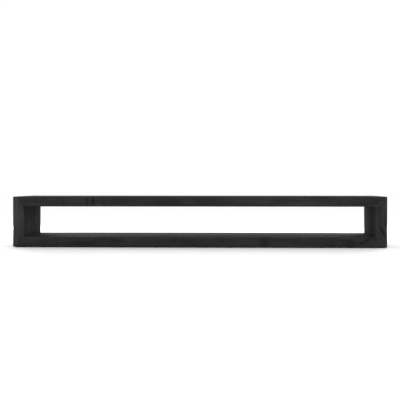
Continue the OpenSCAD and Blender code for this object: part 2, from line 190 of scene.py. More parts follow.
def lay_staves(tree, coords, seed):
    """Gives each stave of a wide board its own stretch of grain and tone, with a dark line at the seams."""
    across = calc(tree, "DIVIDE", put(tree, "SeparateXYZ", {0: coords}, out=1), STAVE)
    index = calc(tree, "FLOOR", across)
    step = put(tree, "CombineXYZ", {0: calc(tree, "MULTIPLY", index, 0.731),
                                    1: calc(tree, "MULTIPLY", index, -STAVE),
                                    2: calc(tree, "MULTIPLY", index, 0.017)})
    draw = put(tree, "CombineXYZ", {0: index, 1: seed})
    lot = put(tree, "TexWhiteNoise", {"Vector": draw}, out="Value", noise_dimensions="2D")
    from_seam = calc(tree, "PINGPONG", across, 0.5)
    tone = product(tree, ramp(tree, lot, 0.0, 1.0, 0.62, 1.3, smooth=False),
                   ramp(tree, from_seam, 0.0, 0.008, 0.45, 1.0))
    return vector(tree, "ADD", coords, step), tone


def lay_marks(tree, coords, place, marks):
    """Bends the grain round each mark (knot, streak, darker patch or painted shadow), and gives the share of
    the tone that they leave, or None.
    """
    shade = None
    for centre, half, turns, strength in marks:
        rotation = [math.radians(turn) for turn in turns]
        inputs = {"Vector": coords, "Location": centre, "Rotation": rotation, "Scale": half}
        local = put(tree, "Mapping", inputs, vector_type="TEXTURE")
        away = vector(tree, "LENGTH", local, out="Value")
        push = product(tree, ramp(tree, away, 0.6, 3.0, 1.0, 0.0), 0.35 * half[2] * strength)
        place = vector(tree, "SUBTRACT", place, stretched(tree, vector(tree, "NORMALIZE", local), push))
        spot = product(tree, ramp(tree, away, 0.35, 1.25, 1.0, 0.0), strength)
        keep = calc(tree, "SUBTRACT", 1.0, spot)
        shade = keep if shade is None else product(tree, shade, keep)
    return place, shade


def timber(name, along_x=True, seed=0.0, tone=1.0, marks=(), staves=False, gloss=0.12):
    """Brushed pine under a black stain, with its length along X or along Z.

    Each mark is a knot, a darker patch, a painted shadow along a mitre, or a paler streak where its strength
    is negative.
    """

    def lengthwise(along, across):
        """A scale that is along on the board's length and across on its two other ways."""
        return (along, across, across) if along_x else (across, across, along)

    material, tree, shader, coords = start_material(name)
    place, stave_tone = lay_staves(tree, coords, seed) if staves else (coords, None)
    place, shade = lay_marks(tree, coords, place, marks)

    start = (seed * 0.013, 0.05 + seed * 0.011, -0.16 + seed * 0.007)
    grain = scaled(tree, place, lengthwise(0.05, 1.0), start)
    wander = put(tree, "TexNoise", {"Vector": grain, "Scale": 9.0, "Detail": 2.0}, out=1)
    wander = stretched(tree, vector(tree, "SUBTRACT", wander, (0.5, 0.5, 0.5)), 0.045)
    inputs = {"Vector": vector(tree, "ADD", grain, wander), "Scale": 46.0, "Distortion": 1.6, "Detail": 2.0,
              "Detail Scale": 3.0}
    rings = put(tree, "TexWave", inputs, out=1, wave_type="RINGS",
                rings_direction="X" if along_x else "Z", wave_profile="SAW")
    fibres = specks(tree, scaled(tree, place, lengthwise(7.0, 620.0)), 1.0, 4.0, 0.62)
    blotch_scale = (2.0, 9.0, 9.0) if along_x else (9.0, 9.0, 3.0)
    blotch = specks(tree, scaled(tree, place, blotch_scale, (seed, 0, 0)), 1.0, 2.0)
    patch_scale = (7.0, 34.0, 34.0) if along_x else (34.0, 34.0, 9.0)
    patchy = specks(tree, scaled(tree, place, patch_scale), 1.0, 2.0)

    share = total_of(tree,
                     product(tree, ramp(tree, rings, 0.1, 0.95), ramp(tree, patchy, 0.35, 0.7, 0.08, 0.46)),
                     product(tree, ramp(tree, fibres, 0.32, 0.68), 0.30),
                     product(tree, ramp(tree, patchy, 0.30, 0.70), 0.16),
                     product(tree, ramp(tree, blotch, 0.30, 0.70), 0.36))
    share = product(tree, share, *(factor for factor in (shade, stave_tone) if factor is not None))
    stained = two_colours(tree, share, [c * tone for c in DARK_STAIN], [c * tone for c in PALE_STAIN])
    edge = ramp(tree, put(tree, "NewGeometry", out="Pointiness"), 0.512, 0.532)
    thin = specks(tree, scaled(tree, coords, (60.0, 60.0, 60.0), (seed, 0, 0)), 1.0, 4.0, 0.65)
    worn = product(tree, edge, ramp(tree, thin, 0.42, 0.68, 0.05, 0.6))

    height = total_of(tree, product(tree, rings, 0.45), product(tree, fibres, 0.75))
    if shade is not None:
        height = total_of(tree, height, product(tree, shade, 0.6))
    wire(tree, shader, Base_Color=two_colours(tree, worn, stained, RUBBED_STAIN),
         Roughness=ramp(tree, fibres, 0.25, 0.75, 0.66, 0.84), Specular_IOR_Level=gloss,
         Normal=bump(tree, height, 0.6, 0.35 * MM))
    return material


# ---------- other materials ----------


def moulded(name, colour, roughness, grain=900.0, depth=0.04, uneven=0.06):
    """Moulded plastic: a fine spark-eroded texture and a slight drift of tone and gloss."""
    material, tree, shader, coords = start_material(name)
    drift = specks(tree, coords, 14.0, 2.0)
    fine = specks(tree, coords, grain, 2.0)
    dark = [c * 0.82 for c in colour]
    pale = [min(1.0, c * 1.18) for c in colour]
    wire(tree, shader, Base_Color=two_colours(tree, drift, dark, pale),
         Roughness=ramp(tree, fine, 0.3, 0.7, roughness - uneven, roughness + uneven),
         Normal=bump(tree, fine, 0.5, depth * MM))
    return material


RUBBED_COAT = (0.05, 0.05, 0.051)  # powder coat where an edge has been touched often


def powder_coat(name, colour, roughness):
    """Black powder coat on steel: orange peel, and a trace of rubbing on the edges."""
    material, tree, shader, coords = start_material(name)
    peel = specks(tree, coords, 1400.0, 2.0)
    drift = specks(tree, coords, 9.0, 3.0)
    edge = ramp(tree, put(tree, "NewGeometry", out="Pointiness"), 0.52, 0.60, 0.0, 0.5)
    base = two_colours(tree, drift, [c * 0.8 for c in colour], [c * 1.25 for c in colour])
    wire(tree, shader, Base_Color=two_colours(tree, edge, base, RUBBED_COAT),
         Roughness=ramp(tree, peel, 0.3, 0.7, roughness - 0.08, roughness + 0.08),
         Specular_IOR_Level=0.22, Normal=bump(tree, peel, 0.4, 0.05 * MM))
    return material


def bare_metal(name, colour, roughness, brush=(20.0, 900.0, 900.0)):
    """Bare or plated metal with a drawn or rolled direction."""
    material, tree, shader, coords = start_material(name)
    lines = specks(tree, scaled(tree, coords, brush), 1.0, 3.0)
    stains = specks(tree, coords, 22.0, 4.0, 0.6)
    base = two_colours(tree, stains, [c * 0.86 for c in colour], [min(1.0, c * 1.08) for c in colour])
    wire(tree, shader, Base_Color=base, Metallic=1.0,
         Roughness=ramp(tree, calc(tree, "ADD", lines, stains), 0.6, 1.4, roughness - 0.1, roughness + 0.12),
         Normal=bump(tree, lines, 0.25, 0.03 * MM))
    return material


def sawn_pine(name):
    """Unstained sawn pine of the pieces inside."""
    material, tree, shader, coords = start_material(name)
    grain = scaled(tree, coords, (1.0, 0.08, 1.0))
    rings = put(tree, "TexWave", {"Vector": grain, "Scale": 42.0, "Distortion": 3.0, "Detail": 3.0}, out=1,
                wave_type="RINGS", rings_direction="Y", wave_profile="SAW")
    fibres = specks(tree, scaled(tree, coords, (500.0, 12.0, 500.0)), 1.0, 3.0)
    share = total_of(tree, product(tree, rings, 0.6), product(tree, fibres, 0.4))
    wire(tree, shader, Base_Color=two_colours(tree, share, (0.72, 0.50, 0.27), (0.46, 0.27, 0.12)),
         Roughness=0.75, Normal=bump(tree, fibres, 0.6, 0.25 * MM))
    return material


def solder_mask(name):
    """Circuit board: copper runs show as paler lines under the green mask."""
    material, tree, shader, coords = start_material(name)
    cells = put(tree, "TexVoronoi", {"Vector": scaled(tree, coords, (420.0, 420.0, 420.0)), "Scale": 1.0},
                feature="DISTANCE_TO_EDGE", distance="MANHATTAN")
    runs = ramp(tree, cells, 0.04, 0.08, 1.0, 0.0)
    wire(tree, shader, Base_Color=two_colours(tree, runs, (0.008, 0.075, 0.028), (0.03, 0.20, 0.07)),
         Roughness=0.28, Normal=bump(tree, runs, 0.4, 0.03 * MM))
    return material


def clear_plastic(name, colour, roughness, through):
    """Tinted see-through plastic with faint flow lines."""
    material, tree, shader, coords = start_material(name)
    flow = specks(tree, scaled(tree, coords, (6.0, 6.0, 60.0)), 1.0, 2.0)
    base = two_colours(tree, flow, [c * 0.85 for c in colour], [min(1.0, c * 1.15) for c in colour])
    wire(tree, shader, Base_Color=base, Roughness=roughness, Transmission_Weight=through, IOR=1.49,
         Normal=bump(tree, flow, 0.2, 0.05 * MM))
    return material


def woven(name, colour, pitch):
    """Braided sleeve or pressed felt: strands that cross, with their pitch in millimetres."""
    material, tree, shader, coords = start_material(name)
    scale = 0.0314 / (pitch * MM)
    one, two = (put(tree, "TexWave", {"Vector": way, "Scale": scale}, out=1, bands_direction="DIAGONAL")
                for way in (coords, scaled(tree, coords, (-1.0, 1.0, 1.0))))
    strands = calc(tree, "MAXIMUM", one, two)
    fuzz = specks(tree, coords, 1500.0, 2.0)
    share = product(tree, strands, total_of(tree, fuzz, 0.3))
    wire(tree, shader, Base_Color=two_colours(tree, share, [c * 0.5 for c in colour], colour),
         Roughness=0.85, Normal=bump(tree, strands, 0.7, 0.15 * MM))
    return material


# ---------- mesh building ----------


def new_mesh(name, verts, faces):
    mesh = bpy.data.meshes.new(name)
    mesh.from_pydata([tuple(v) for v in verts], [], faces)
    return mesh


def add_object(name, data):
    item = bpy.data.objects.new(name, data)
    bpy.context.scene.collection.objects.link(item)
    return item


def make_piece(name, verts, faces, material, body, slot, stands_for=(), smooth_angle=40.0):
    """One mesh object that rides on a body, with smooth shading up to that angle."""
    mesh = new_mesh(name, verts, faces)
    shell = bmesh.new()
    shell.from_mesh(mesh)
    bmesh.ops.recalc_face_normals(shell, faces=shell.faces)
    for face in shell.faces:
        face.smooth = True
    for edge in shell.edges:
        if len(edge.link_faces) == 2 and edge.calc_face_angle(0.0) > math.radians(smooth_angle):
            edge.smooth = False
    shell.to_mesh(mesh)
    shell.free()
    mesh.materials.append(material)
    piece = add_object(name, mesh)
    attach(piece, body)
    if stands_for:
        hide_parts(*stands_for)
    return piece


def skin(rows, count):
    """The faces of a tube with closed ends, over that many rows of points with count points in each."""
    faces = []
    for here in range(0, (rows - 1) * count, count):
        for c in range(count):
            ahead = here + (c + 1) % count
            faces.append([here + c, ahead, ahead + count, here + c + count])
    return [*faces, list(range(count))[::-1], [(rows - 1) * count + c for c in range(count)]]


def steps(start, stop, spacing):
    """Evenly spaced places from start to stop, no further apart than the spacing, without the last."""
    count = max(1, math.ceil(abs(stop - start) / spacing))
    return [start + (stop - start) * k / count for k in range(count)]


def arc(centre, radius, start, stop, count):
    """Points of an arc between two angles in degrees, both ends included."""
    angles = [math.radians(start + (stop - start) * k / (count - 1)) for k in range(count)]
    return [(centre[0] + radius * math.cos(a), centre[1] + radius * math.sin(a)) for a in angles]


def eased_outline(low, high, radii, spacing, arc_steps=4):
    """A rectangle with rounded corners as a loop of points; the radii go round from its low corner."""
    corners = [(low[0], low[1]), (high[0], low[1]), (high[0], high[1]), (low[0], high[1])]
    centres = [(x + (r if x == low[0] else -r), y + (r if y == low[1] else -r))
               for (x, y), r in zip(corners, radii)]
    points = []
    for k in range(4):
        points += arc(centres[k], radii[k], 180 + 90 * k, 270 + 90 * k, arc_steps + 1)
        here, there = points[-1], centres[(k + 1) % 4]
        turn = math.radians(270 + 90 * k)
        reach = radii[(k + 1) % 4]
        goal = (there[0] + reach * math.cos(turn), there[1] + reach * math.sin(turn))
        ts = steps(0.0, 1.0, spacing / max(math.dist(here, goal), 1e-6))[1:]
        points += [(here[0] + (goal[0] - here[0]) * t, here[1] + (goal[1] - here[1]) * t) for t in ts]
    return np.array(points)


def side_ends(side, inset):
    """Where a side of the frame starts and stops at that inset, along X, or along Z on a post."""
    if side in (LEFT, RIGHT):
        return z_low + inset, z_top - inset
    return -half_w + inset, half_w - inset


def frame_points(side, along, inset, y):
    """Points of the frame from a place along a side, an inset from its outside and a depth."""
    if side == BOTTOM:
        return np.stack([along, y, z_low + inset], axis=-1)
    if side == TOP:
        return np.stack([along, y, z_top - inset], axis=-1)
    if side == LEFT:
        return np.stack([-half_w + inset, y, along], axis=-1)
    return np.stack([half_w - inset, y, along], axis=-1)


def board(side, insets, depth, eases, seed, span=WHOLE, across=3.5 * MM):
    """A board of the frame as points and faces: mitred or cut square, edges eased, its faces gently uneven.

    Its cross-section is given by insets from the frame's outside and by depths in Y. The span cuts it short.
    """
    along = 14 * MM  # how far apart its rows of points are
    wear = 0.22 * MM  # how deep its low places are
    joint = 0.35 * MM  # easing of its two ends
    outline = eased_outline((insets[0], depth[0]), (insets[1], depth[1]), eases, across)
    centre = np.array([(insets[0] + insets[1]) / 2, (depth[0] + depth[1]) / 2])
    half = np.array([(insets[1] - insets[0]) / 2, (depth[1] - depth[0]) / 2])
    shrunk = centre + (outline - centre) * (1 - joint / half)
    ahead = np.roll(outline, -1, axis=0) - np.roll(outline, 1, axis=0)
    outward = np.stack([ahead[:, 1], -ahead[:, 0]], axis=-1)
    outward /= np.maximum(np.linalg.norm(outward, axis=1, keepdims=True), 1e-9)
    starts, stops = side_ends(side, outline[:, 0])
    starts, stops = np.maximum(starts, span[0]), np.minimum(stops, span[1])
    length = float(np.max(stops - starts))
    ease = joint / length
    shares = [0.0, *[ease + (1 - 2 * ease) * t for t in steps(0.0, 1.0, along / length)], 1 - ease, 1.0]
    rows = []
    for k, share in enumerate(shares):
        edge = k in (0, len(shares) - 1)
        loop = shrunk.copy() if edge else outline.copy()
        a, b = side_ends(side, loop[:, 0])
        a, b = np.maximum(a, span[0]), np.minimum(b, span[1])
        here = a + (b - a) * share
        if not edge:
            lows = [noise.noise(Vector((p * 7.0 + seed, q[0] * 95.0, q[1] * 95.0)))
                    for p, q in zip(here, loop)]
            loop -= outward * (wear * (0.5 + 0.5 * np.clip(np.array(lows)[:, None] * 1.6, -1, 1)))
        rows.append(frame_points(side, here, loop[:, 0], loop[:, 1]))
    return np.concatenate(rows), skin(len(rows), len(outline))


def joined(*parts):
    """Several (points, faces) as one."""
    verts, faces, start = [], [], 0
    for part_verts, part_faces in parts:
        verts.extend(part_verts)
        faces.extend([[i + start for i in face] for face in part_faces])
        start += len(part_verts)
    return verts, faces


def cut_out(piece, cutters):
    """Cuts closed shapes, each as points and faces, out of a piece. They must not overlap each other."""
    tool = add_object("cutter", new_mesh("cutter", *joined(*cutters)))
    modifier = piece.modifiers.new("cut", "BOOLEAN")
    modifier.object = tool
    modifier.operation = "DIFFERENCE"
    modifier.solver = "EXACT"
    bpy.context.view_layer.update()
    result = bpy.data.meshes.new_from_object(piece.evaluated_get(bpy.context.evaluated_depsgraph_get()))
    piece.modifiers.clear()
    piece.data = result
    bpy.data.objects.remove(tool)


def box_shape(low, high):
    """A box between two corners."""
    xs, ys, zs = zip(low, high)
    verts = [(x, y, z) for x in xs for y in ys for z in zs]
    faces = [[0, 1, 3, 2], [4, 6, 7, 5], [0, 4, 5, 1], [2, 3, 7, 6], [0, 2, 6, 4], [1, 5, 7, 3]]
    return verts, faces


def prism(outline, y0, y1):
    """An outline in X and Z stretched along Y."""
    return [(x, y, z) for y in (y1, y0) for x, z in outline], skin(2, len(outline))


def turned_shape(centre, profile, axis="Z", sides=48):
    """A closed shape turned about an axis; the profile is (radius, height) points from end to end."""
    verts = []
    for r, h in profile:
        for k in range(sides):
            a = 2 * math.pi * k / sides
            u, v = r * math.cos(a), r * math.sin(a)
            offset = {"Z": (u, v, h), "Y": (v, h, u)}[axis]
            verts.append(tuple(c + o for c, o in zip(centre, offset)))
    return verts, skin(len(profile), sides)


# ---------- the timber pieces ----------

ARRIS = 1.2 * MM  # rounding of the edges that hands touch
SEAM = 0.35 * MM  # easing along a glued seam
TANK_GAP = 1 * MM  # between the tank's front and the edge board beside it
GRILLE_GAP = 1 * MM  # between the heater's cover and the boards either side
STUD_HOLE_R = 4.5 * MM  # the holes for the feet's studs
PULL_HALF_WIDTH = 65 * MM
PULL_FROM_TOP = (6 * MM, 20 * MM)  # its upper and lower edges, below the tank front's top
PULL_DEPTH = 12 * MM

# Marks: knots, paler streaks, darker patches, and painted shadow along a mitre. Each is centre, half sizes,
# turns in degrees, strength (below zero it is paler than the board)
TOP_MARKS = [
    ((-0.666, y_front, 0.225), (0.006, 0.02, 0.060), (0, 0, 0), 0.35),
    ((-0.549, y_front, 0.225), (0.008, 0.02, 0.060), (0, 4, 0), 0.55),
    ((-0.519, y_front, 0.228), (0.009, 0.02, 0.018), (0, 0, 0), 0.95),
    ((-0.466, y_front, 0.225), (0.007, 0.02, 0.060), (0, -3, 0), 0.45),
    ((0.45, y_front, 0.230), (0.085, 0.02, 0.010), (0, 0, 0), 0.30),
    ((0.84, y_front, 0.236), (0.060, 0.02, 0.012), (0, 20, 0), 0.35),
]
BOTTOM_MARKS = [
    # painted shadow along the bottom-left mitre, on the bottom board
    ((-0.878, y_front, 0.036), (0.0045, 0.02, 0.022), (0, 48, 0), 0.70),
    ((-0.60, y_front, 0.020), (0.110, 0.02, 0.010), (0, 2, 0), 0.35),
    ((-0.407, y_front, 0.028), (0.035, 0.02, 0.022), (0, 0, 0), 0.45),
    ((0.318, y_front, 0.022), (0.030, 0.02, 0.034), (0, 0, 0), 0.60),
    ((0.734, y_front, 0.020), (0.040, 0.02, 0.024), (0, 0, 0), 0.55),
    ((0.789, y_front, 0.024), (0.010, 0.02, 0.007), (0, 0, 0), 0.9),
    ((0.822, y_front, 0.042), (0.034, 0.02, 0.010), (0, -32, 0), 0.7),
]
RIGHT_MARKS = [
    ((0.893, y_front, 0.078), (0.010, 0.02, 0.040), (0, -24, 0), 0.85),
    ((0.905, y_front, 0.118), (0.006, 0.02, 0.012), (0, 0, 0), 0.7),
]
# darker patches and paler streaks on the left post's face inside the opening
INSIDE_LEFT_MARKS = [
    ((-0.866, -0.010, 0.165), (0.030, 0.110, 0.045), (0, 0, 0), 0.45),
    ((-0.866, 0.140, 0.125), (0.030, 0.034, 0.160), (0, 0, 0), 0.55),
    ((-0.866, 0.035, 0.098), (0.030, 0.060, 0.014), (36, 0, 0), -1.1),
]
# darker patches and paler streaks on the right post's face inside the opening
INSIDE_RIGHT_MARKS = [
    ((0.866, -0.030, 0.160), (0.030, 0.080, 0.075), (0, 0, 0), 0.90),
    ((0.866, -0.020, 0.085), (0.030, 0.060, 0.070), (0, 0, 0), 0.70),
    ((0.866, 0.110, 0.125), (0.030, 0.026, 0.120), (0, 0, 0), -0.5),
    ((0.866, -0.150, 0.125), (0.030, 0.036, 0.160), (0, 0, 0), -0.9),
]
LEFT_MARKS = [
    ((-0.900, y_front, 0.120), (0.024, 0.02, 0.100), (0, 0, 0), -0.42),
    ((-0.874, y_front, 0.215), (0.012, 0.02, 0.030), (0, 25, 0), 0.35),
    # painted shadow along the bottom-left mitre, on the left board
    ((-0.880, y_front, 0.040), (0.0055, 0.02, 0.022), (0, 42, 0), 0.85),
]


def make_lipping(name, side, tone, seed, marks=(), rear=False, spans=(WHOLE,)):
    """The solid edge board of one side, at the front or at the back."""
    depth = (-y_panel, y_back) if rear else (y_front, y_panel)
    eases = (SEAM, SEAM, ARRIS, ARRIS) if rear else (ARRIS, ARRIS, SEAM, SEAM)
    parts = [board(side, (0.0, beam), depth, eases, seed, span, across=3.0 * MM) for span in spans]
    finish = timber("timber_" + name, side in (TOP, BOTTOM), seed, tone, marks)
    return make_piece("timber_" + name, *joined(*parts), finish, "frame", "stained_timber", (name,))


def make_panel(name, side, tone, seed, inner=False, depth=None, gloss=0.12, marks=()):
    """A wide board between the edge boards: outside on the frame or, as an inner one, facing its opening."""
    insets = (beam - panel_t, beam) if inner else (0.0, panel_t)
    part = board(side, insets, depth or (y_panel, -y_panel), (SEAM,) * 4, seed)
    finish = timber("timber_" + name, side in (TOP, BOTTOM), seed, tone, marks, staves=True, gloss=gloss)
    return make_piece("timber_" + name, *part, finish, "frame", "stained_timber", (name,))


def timber_pieces():
    """Every board that shows. The two numbers after its side are its tone and the seed of its grain."""
    make_lipping("front_lipping_top", TOP, 1.05, 1.0, TOP_MARKS)
    make_lipping("front_lipping_bottom", BOTTOM, 0.96, 2.0, BOTTOM_MARKS)
    make_lipping("front_lipping_left", LEFT, 1.22, 3.0, LEFT_MARKS)
    make_lipping("front_lipping_right", RIGHT, 0.98, 4.0, RIGHT_MARKS)
    make_lipping("rear_lipping_top", TOP, 1.0, 5.0, rear=True)
    make_lipping("rear_lipping_left", LEFT, 1.1, 6.0, rear=True)
    make_lipping("rear_lipping_right", RIGHT, 0.95, 7.0, rear=True)
    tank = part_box("tank_front")
    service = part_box("service_panel")
    bottom_spans = ((WHOLE[0], tank[0].x - TANK_GAP), (service[1].x, WHOLE[1]))
    make_lipping("rear_lipping_bottom", BOTTOM, 0.95, 8.0, rear=True, spans=bottom_spans)
    make_panel("top_panel", TOP, 1.0, 9.0, gloss=0.03)
    make_panel("left_outer_panel", LEFT, 1.05, 10.0)
    make_panel("right_outer_panel", RIGHT, 1.0, 11.0)
    make_panel("left_inner_panel", LEFT, 1.3, 12.0, inner=True, gloss=0.02, marks=INSIDE_LEFT_MARKS)
    make_panel("right_inner_panel", RIGHT, 1.2, 13.0, inner=True, gloss=0.02, marks=INSIDE_RIGHT_MARKS)
    make_soffits()
    front_deck, rear_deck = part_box("deck_front"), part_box("deck_rear")
    make_panel("deck_front", BOTTOM, 0.92, 16.0, inner=True, depth=(y_panel, front_deck[1].y), gloss=0.07)
    make_panel("deck_rear", BOTTOM, 0.92, 17.0, inner=True, depth=(rear_deck[0].y, -y_panel), gloss=0.07)
    base = make_panel("base_panel", BOTTOM, 0.9, 18.0)
    studs = [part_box(name) for name in FEET]
    places = [((a.x + b.x) / 2, (a.y + b.y) / 2, z_low) for a, b in studs]
    cut_out(base, [turned_shape(p, [(STUD_HOLE_R, -5 * MM), (STUD_HOLE_R, 12 * MM)]) for p in places])
    make_tank_front(tank)


def make_soffits():
    """The two boards under the upper beam, either side of the heater, with a hole for the controls."""
    grille_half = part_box("heater_cover")[1].x + GRILLE_GAP
    section = (beam - panel_t, beam), (y_panel, -y_panel), (SEAM,) * 4
    left = board(TOP, *section, 14.0, (WHOLE[0], -grille_half))
    right = board(TOP, *section, 15.0, (grille_half, WHOLE[1]))
    finish = timber("timber_soffits", True, 14.0, 0.95, staves=True)
    soffits = make_piece("timber_soffits", *joined(left, right), finish, "frame", "stained_timber",
                         ("soffits",))
    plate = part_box("control_bezel")
    lap = Vector((4 * MM, 3 * MM, -5 * MM))  # the bezel covers the hole's edges; the cut goes right through
    cut_out(soffits, [box_shape(plate[0] + lap, plate[1] - lap)])


def make_tank_front(tank):
    """The tank's timber front, in line with the rear edge board, with a rounded finger pull cut into it."""
    part = board(BOTTOM, (0.0, beam), (tank[0].y, y_back), (SEAM, SEAM, ARRIS, ARRIS), 19.0,
                 (tank[0].x, tank[1].x), across=3.0 * MM)
    finish = timber("timber_tank_front", True, 19.0, 0.95)
    front = make_piece("timber_tank_front", *part, finish, "tank", "stained_timber", ("tank_front",))
    low = (-PULL_HALF_WIDTH, tank[1].z - PULL_FROM_TOP[1])
    high = (PULL_HALF_WIDTH, tank[1].z - PULL_FROM_TOP[0])
    pull = eased_outline(low, high, (3 * MM,) * 4, 5 * MM)
    cut_out(front, [prism(pull, y_back - PULL_DEPTH, y_back + 1 * MM)])


# ---------- the CAD nodes that keep their own shape ----------


def dress(nodes, material, ease=0.0):
    """Gives CAD nodes a material and, where an ease is given, rounds their edges by it."""
    for name in nodes:
        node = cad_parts[name]
        node.data.materials.clear()
        node.data.materials.append(material)
        if ease:
            rounding = node.modifiers.new("ease", "BEVEL")
            rounding.width = ease
            rounding.segments = 2
            rounding.limit_method = "ANGLE"
            rounding.angle_limit = math.radians(35)
            rounding.harden_normals = False


def dress_cad_nodes():
    black_metal = powder_coat("black_metal", (0.011, 0.011, 0.0115), 0.5)
    dress(["slot_trims", "heater_cover"], black_metal, 0.25 * MM)
    dress(["service_panel"], black_metal, 0.4 * MM)
    pine = sawn_pine("raw_pine")
    dress(["corner_blocks", "spacer_ribs", "mitre_dowels"], pine, 0.5 * MM)
    steel = bare_metal("zinc_steel", (0.60, 0.61, 0.62), 0.36)
    dress(["blower_housing", "blower_motor", "blower_shaft", "atomisers"], steel, 0.2 * MM)
    aluminium = bare_metal("aluminium_case", (0.66, 0.67, 0.68), 0.38, (900.0, 20.0, 900.0))
    dress(["power_supply"], aluminium, 0.6 * MM)
    brass = bare_metal("brass", (0.78, 0.58, 0.26), 0.26)
    dress(["shaft_bushes", "insert_nuts", "inlet_pins"], brass, 0.15 * MM)
    dress(["heating_elements"], bare_metal("heater_fins", (0.74, 0.73, 0.70), 0.42, (900.0, 900.0, 20.0)))
    black_plastic = moulded("black_plastic", (0.022, 0.022, 0.023), 0.5)
    dress(["mist_tray", "mist_fan_frames", "mist_fan_rotor_left", "mist_fan_rotor_right", "tank_runners",
           "blower_wheels"], black_plastic, 0.2 * MM)
    dress(["mains_inlet"], black_plastic, 0.5 * MM)
    gloss = moulded("gloss_plastic", (0.012, 0.012, 0.013), 0.22, 2500.0, 0.004, uneven=0.02)
    dress(["power_rocker", "control_bezel"], gloss, 0.5 * MM)
    dress(["thermal_cutout", "leds"], moulded("white_plastic", (0.72, 0.71, 0.66), 0.4), 0.2 * MM)
    dress(["wicks"], woven("wick_felt", (0.78, 0.77, 0.72), 1.4))
    dress(["wiring_loom"], woven("cable_sleeve", (0.030, 0.030, 0.031), 1.6))
    dress(["led_strips", "control_board"], solder_mask("circuit_board"), 0.1 * MM)
    amber = clear_plastic("amber_plastic", (0.95, 0.50, 0.12), 0.45, 0.7)
    dress(["led_diffusers"], amber, 0.3 * MM)
    smoke = clear_plastic("smoke_plastic", (0.42, 0.45, 0.50), 0.12, 0.85)
    dress(["water_tank", "tank_lid"], smoke, 0.8 * MM)


# ---------- pieces with more detail than their CAD solids ----------

SCREW_HEAD_R = 3.5 * MM
PANEL_SCREW_R = 3.2 * MM
PANEL_SCREW_HEIGHT = 1.5 * MM
PANEL_SCREW_INSET = 9 * MM
LENS_FROM_MIDDLE = 42 * MM  # along the bezel
LENS_R = 2.45 * MM
LENS_RISE = 0.9 * MM
PAD_T = 2.7 * MM  # thickness of a foot's pad
PAD_EASE = 0.9 * MM
STUD_R = 4 * MM
THREAD_PITCH = 1.25 * MM
THREAD_DEPTH = 0.55 * MM
FLANGE_T = 2.2 * MM  # thickness of the filler cap's rim
FLUTES, FLUTE_DEPTH = 30, 0.5 * MM


def screw_shape(centre, radius, height, axis, sign):
    """A pan head that stands up from its centre along the axis, as points and faces."""
    dome = [(radius * math.cos(a), sign * height * (0.35 + 0.65 * math.sin(a)))
            for a in (math.radians(15 * k) for k in range(6))]
    profile = [(ON_AXIS, 0.0), (radius, 0.0), *dome, (ON_AXIS, sign * height)]
    return turned_shape(centre, profile, axis, 24)


def recess_blade(centre, radius, depth, up, sign, way):
    """One blade of a cross recess, sunk from the top of a head: up and way are 0, 1 or 2 for X, Y or Z."""
    reach = [radius * 0.16] * 3
    reach[way] = radius * 0.62
    low = [c - r for c, r in zip(centre, reach)]
    high = [c + r for c, r in zip(centre, reach)]
    low[up], high[up] = sorted((centre[up] - sign * depth, centre[up] + sign * 1 * MM))
    return box_shape(low, high)


def make_screws(name, places, radius, height, axis, sign, material, stands_for=()):
    """Pan-head screws with cross recesses; each place is the middle of the head's seat."""
    heads = [screw_shape(p, radius, height, axis, sign) for p in places]
    piece = make_piece(name, *joined(*heads), material, "frame", "zinc_steel", stands_for)
    up = "XYZ".index(axis)
    tops = [[c + (sign * height if i == up else 0.0) for i, c in enumerate(p)] for p in places]
    for way in (i for i in range(3) if i != up):
        cut_out(piece, [recess_blade(top, radius, 0.55 * height, up, sign, way) for top in tops])


def visible_screws():
    steel = bare_metal("black_zinc", (0.10, 0.10, 0.105), 0.34)
    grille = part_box("heater_cover")
    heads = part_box("cover_screws")
    columns = (heads[0].x + SCREW_HEAD_R, heads[1].x - SCREW_HEAD_R)
    rows = (heads[0].y + SCREW_HEAD_R, 0.0, heads[1].y - SCREW_HEAD_R)
    height = grille[0].z - heads[0].z
    places = [(x, y, grille[0].z) for x in columns for y in rows]
    make_screws("cover_screw_heads", places, SCREW_HEAD_R, height, "Z", -1, steel, ("cover_screws",))
    low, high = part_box("service_panel")
    corners = [(x, high.y, z) for x in (low.x + PANEL_SCREW_INSET, high.x - PANEL_SCREW_INSET)
               for z in (low.z + PANEL_SCREW_INSET, high.z - PANEL_SCREW_INSET)]
    make_screws("service_panel_screws", corners, PANEL_SCREW_R, PANEL_SCREW_HEIGHT, "Y", 1, steel)


def push_buttons():
    """Turned metal buttons with a dished face and a ring groove."""
    metal = bare_metal("button_metal", (0.34, 0.34, 0.35), 0.3, (240.0, 240.0, 240.0))
    for name, body in BUTTONS.items():
        low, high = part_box(name)
        x, y = (low.x + high.x) / 2, (low.y + high.y) / 2
        r = (high.x - low.x) / 2
        dish = [(ON_AXIS, 0.5 * MM), (0.45 * r, 0.42 * MM), (0.72 * r, 0.22 * MM), (0.80 * r, 0.0)]
        groove = [(0.84 * r, 0.0), (0.85 * r, 0.35 * MM), (0.88 * r, 0.35 * MM), (0.89 * r, 0.0)]
        ease = 0.5 * MM
        rim = arc((r - ease, ease), ease, -90, 0, 6)
        top = high.z - low.z
        profile = [*dish, *groove, *rim, (r, top - 0.3 * MM), (r - 0.3 * MM, top), (ON_AXIS, top)]
        shape = turned_shape((x, y, low.z), profile)
        make_piece("turned_" + name, *shape, metal, body, "button_metal", (name,), smooth_angle=50)


